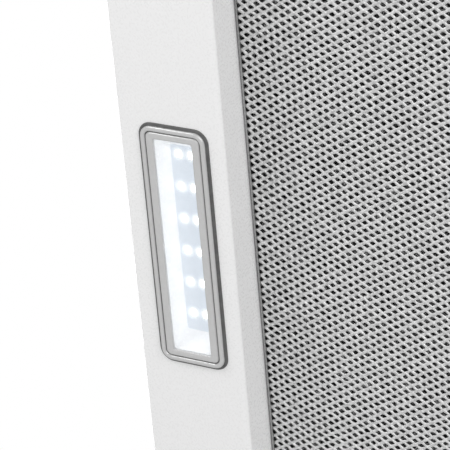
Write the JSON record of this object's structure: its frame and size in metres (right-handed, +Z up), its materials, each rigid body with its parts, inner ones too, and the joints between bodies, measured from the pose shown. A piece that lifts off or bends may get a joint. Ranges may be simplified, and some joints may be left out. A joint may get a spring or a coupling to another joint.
{
  "type": "under cabinet range hood",
  "caption": "White painted under cabinet range hood with mesh grease filters, strip lamps set in the front rail, a flat centrifugal blower and a rectangular duct outlet.",
  "frame": {"origin": "on the level top face that rests against the cabinet, midway along the width and the depth", "axes": "X along the width, with the push buttons at +X, +Y towards the kitchen wall, +Z up"},
  "size_m": [0.758, 0.505, 0.1742],
  "materials": {
    "white_paint": "gloss",
    "galvanised_steel": "satin",
    "zinc_fastener": "satin",
    "dark_wire": "satin",
    "motor_steel": "satin",
    "cast_alloy": "satin",
    "ground_steel": "polished",
    "black_rubber": "matte",
    "ivory_plastic": "satin",
    "green_fastener": "satin",
    "white_plastic": "satin",
    "grey_plastic": "satin",
    "circuit_board": "satin",
    "black_plastic": "satin",
    "clear_lens": "gloss",
    "white_reflector": "gloss",
    "lamp_circuit": "satin",
    "lit_diode": "gloss",
    "filter_aluminium": "satin",
    "filter_mesh": "satin"
  },
  "bodies": {
    "canopy": {"canopy_shell": "white_paint", "left_side_panel": "white_paint", "right_side_panel": "white_paint", "back_panel": "white_paint", "centre_divider": "white_paint", "duct_collar": "galvanised_steel", "knockout_plate": "galvanised_steel", "outlet_duct": "galvanised_steel", "rivets": "zinc_fastener", "blower_housing": "galvanised_steel", "blower_inlet_plate": "galvanised_steel", "inlet_guard": "dark_wire", "blower_spacers": "galvanised_steel", "motor_can": "motor_steel", "motor_end_plate": "cast_alloy", "motor_bushes": "black_rubber", "motor_screws": "zinc_fastener", "run_capacitor": "cast_alloy", "capacitor_strap": "galvanised_steel", "wiring_box": "galvanised_steel", "wiring_box_cover": "galvanised_steel", "terminal_block": "ivory_plastic", "earth_screw": "green_fastener", "cable_bushing": "black_rubber", "lamp_driver": "white_plastic", "control_bezel": "grey_plastic", "switch_board": "circuit_board", "switches": "black_plastic", "left_lamp_bezel": "grey_plastic", "left_lamp_lens": "clear_lens", "left_lamp_reflector": "white_reflector", "left_lamp_board": "lamp_circuit", "left_lamp_diodes": "lit_diode", "right_lamp_bezel": "grey_plastic", "right_lamp_lens": "clear_lens", "right_lamp_reflector": "white_reflector", "right_lamp_board": "lamp_circuit", "right_lamp_diodes": "lit_diode", "left_filter_clips": "zinc_fastener", "right_filter_clips": "zinc_fastener"},
    "rotor": {"motor_shaft": "ground_steel", "impeller_wheel": "galvanised_steel", "impeller_nut": "zinc_fastener"},
    "damper": {"damper_flap": "galvanised_steel", "damper_rod": "zinc_fastener"},
    "left_filter": {"left_filter_frame": "filter_aluminium", "left_filter_mesh": "filter_mesh", "left_filter_pins": "zinc_fastener", "left_ring_plate": "zinc_fastener"},
    "right_filter": {"right_filter_frame": "filter_aluminium", "right_filter_mesh": "filter_mesh", "right_filter_pins": "zinc_fastener", "right_ring_plate": "zinc_fastener"},
    "left_ring": {"left_pull_ring": "zinc_fastener"},
    "right_ring": {"right_pull_ring": "zinc_fastener"},
    "light_key": {"light_button": "white_plastic"},
    "off_key": {"off_button": "white_plastic"},
    "low_key": {"low_button": "white_plastic"},
    "medium_key": {"medium_button": "white_plastic"},
    "high_key": {"high_button": "white_plastic"}
  },
  "joints": [
    {"name": "fan_spin", "type": "hinge", "parent": "canopy", "child": "rotor", "pos_m": [-0.06, 0.02, -0.05], "axis": [0, 0, 1], "continuous": true},
    {"name": "damper_swing", "type": "hinge", "parent": "canopy", "child": "damper", "pos_m": [0, 0.1605, 0.006], "axis": [1, 0, 0], "range_deg": [0, 75]},
    {"name": "left_filter_swing", "type": "hinge", "parent": "canopy", "child": "left_filter", "pos_m": [-0.1855, 0.197, -0.1177], "axis": [1, 0, 0], "range_deg": [0, 80], "deforming": ["left_filter_clips"]},
    {"name": "left_ring_swing", "type": "hinge", "parent": "left_filter", "child": "left_ring", "pos_m": [-0.048, -0.1798, -0.1241], "axis": [1, 0, 0], "range_deg": [-35, 75]},
    {"name": "right_filter_swing", "type": "hinge", "parent": "canopy", "child": "right_filter", "pos_m": [0.1855, 0.197, -0.1177], "axis": [1, 0, 0], "range_deg": [0, 80], "deforming": ["right_filter_clips"]},
    {"name": "right_ring_swing", "type": "hinge", "parent": "right_filter", "child": "right_ring", "pos_m": [0.048, -0.1798, -0.1241], "axis": [1, 0, 0], "range_deg": [-35, 75]},
    {"name": "light_press", "type": "slide", "parent": "canopy", "child": "light_key", "axis": [0, 1, 0], "range_m": [0, 0.002], "stiffness_N_per_m": 300},
    {"name": "off_press", "type": "slide", "parent": "canopy", "child": "off_key", "axis": [0, 1, 0], "range_m": [0, 0.002], "stiffness_N_per_m": 300},
    {"name": "low_press", "type": "slide", "parent": "canopy", "child": "low_key", "axis": [0, 1, 0], "range_m": [0, 0.002], "stiffness_N_per_m": 300},
    {"name": "medium_press", "type": "slide", "parent": "canopy", "child": "medium_key", "axis": [0, 1, 0], "range_m": [0, 0.002], "stiffness_N_per_m": 300},
    {"name": "high_press", "type": "slide", "parent": "canopy", "child": "high_key", "axis": [0, 1, 0], "range_m": [0, 0.002], "stiffness_N_per_m": 300}
  ]
}
